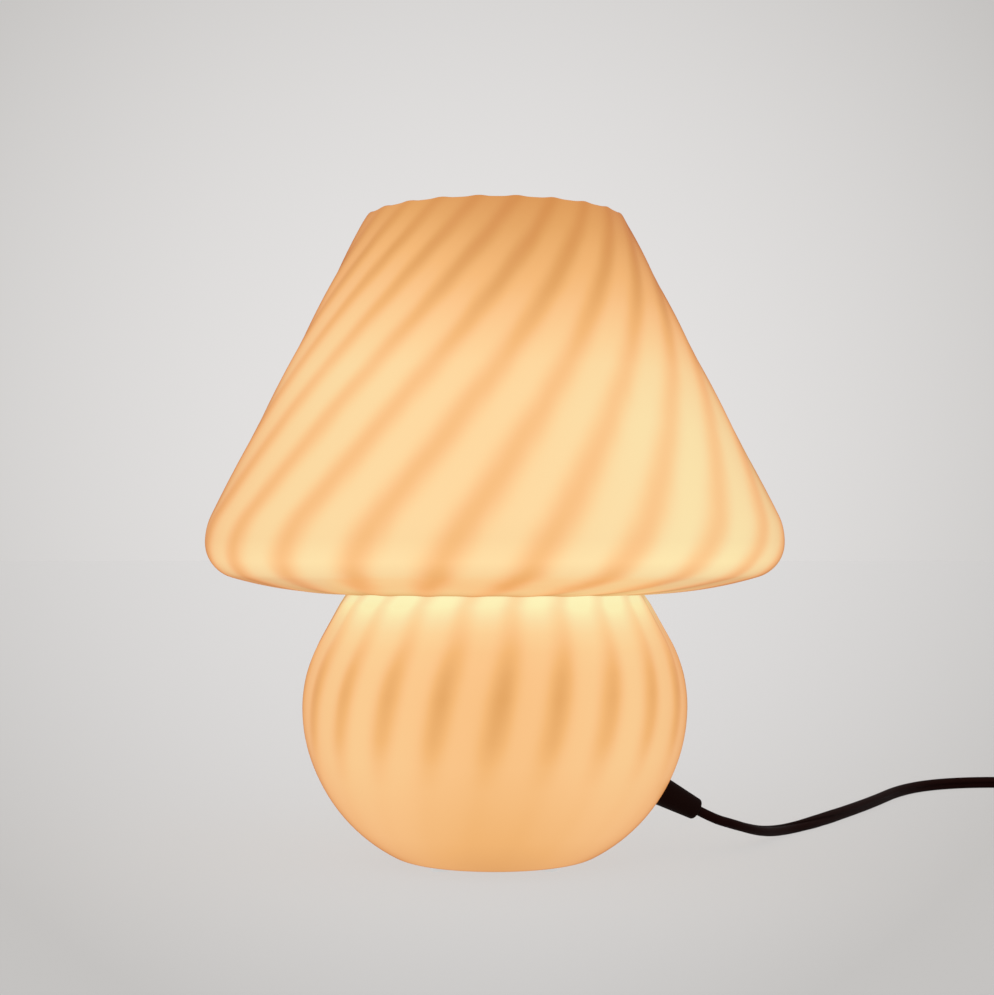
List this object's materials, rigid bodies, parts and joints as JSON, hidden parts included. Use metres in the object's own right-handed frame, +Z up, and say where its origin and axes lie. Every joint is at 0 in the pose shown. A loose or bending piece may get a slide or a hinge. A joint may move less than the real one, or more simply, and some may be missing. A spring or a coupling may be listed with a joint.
{
  "type": "table lamp",
  "caption": "Mushroom-shaped table lamp in swirl-ribbed opal glass with an open conical shade, a screw-in bulb, and a flex with an inline rocker switch and flat plug.",
  "frame": {"origin": "on the table, on the lamp's axis, at the underside of the foot pads", "axes": "+Z up along the lamp's axis, -Y towards the front, +X to the side where the flex leaves"},
  "size_m": [0.4461, 0.3072, 0.2237],
  "materials": {
    "opal_glass": "glossy swirl-ribbed opal glass, lit warm from inside",
    "clear_silicone": "soft translucent silicone",
    "zinc_steel": "zinc-plated steel",
    "black_rubber": "matt black rubber",
    "white_holder_plastic": "white thermoplastic",
    "white_ceramic": "white steatite ceramic",
    "brass": "bright brass",
    "brown_black_flex": "smooth black vinyl sheath, slightly glossy",
    "core_insulation": "coloured vinyl core insulation",
    "nickel": "nickel-plated brass",
    "black_glass": "dark vitrified insulator",
    "white_bulb_plastic": "white satin plastic",
    "frosted_dome": "frosted diffusing dome, lit",
    "aluminium_board": "aluminium lamp board",
    "led_phosphor": "yellow phosphor chips",
    "driver_board": "green circuit board",
    "black_tie": "matt black strap",
    "black_switch_plastic": "satin black thermoplastic",
    "rocker_plastic": "satin black thermoplastic"
  },
  "bodies": {
    "lamp": {"glass_body": "opal_glass", "foot_pads": "clear_silicone", "fixing_tube": "zinc_steel", "fixing_nut": "zinc_steel", "steel_washer": "zinc_steel", "lower_rubber_washer": "black_rubber", "upper_rubber_washer": "black_rubber", "holder_cap": "white_holder_plastic", "holder_shell": "white_holder_plastic", "holder_insert": "white_ceramic", "screw_shell": "brass", "centre_contact": "brass", "holder_terminals": "brass", "terminal_screws": "zinc_steel", "flex_grip": "white_holder_plastic", "inner_flex": "brown_black_flex", "inner_cores": "core_insulation", "strain_relief": "black_rubber", "relief_collar": "black_rubber", "flex_lead": "brown_black_flex", "flex_link": "brown_black_flex", "flex_coil": "brown_black_flex", "flex_tail": "brown_black_flex", "coil_tie": "black_tie", "switch_lower_shell": "black_switch_plastic", "switch_upper_shell": "black_switch_plastic", "switch_contacts": "brass", "switch_cores": "core_insulation", "switch_flex_clamps": "black_switch_plastic", "switch_screws": "zinc_steel", "plug_body": "black_switch_plastic", "plug_pins": "nickel", "plug_pin_sleeves": "black_switch_plastic"},
    "bulb_eyelet": {"bulb_contact": "nickel"},
    "bulb": {"bulb_insulator": "black_glass", "bulb_screw_cap": "nickel", "bulb_housing": "white_bulb_plastic", "bulb_dome": "frosted_dome", "bulb_led_board": "aluminium_board", "bulb_led_chips": "led_phosphor", "bulb_driver_board": "driver_board"},
    "rocker": {"switch_rocker": "rocker_plastic", "switch_bridge": "brass"}
  },
  "joints": [
    {"name": "bulb_lift", "type": "slide", "parent": "lamp", "child": "bulb_eyelet", "axis": [0, 0, 1], "range_m": [0, 0.01814]},
    {"name": "bulb_turn", "type": "hinge", "parent": "bulb_eyelet", "child": "bulb", "pos_m": [0, 0, 0.1], "axis": [0, 0, 1], "range_deg": [0, 1800]},
    {"name": "switch_rock", "type": "hinge", "parent": "lamp", "child": "rocker", "pos_m": [0.274, 0.112, 0.013], "axis": [1, 0, 0], "range_deg": [-22, 0]}
  ],
  "couplings": [
    {"joint": "bulb_lift", "follows": "bulb_turn", "m_per_rad": 0.00057751}
  ]
}
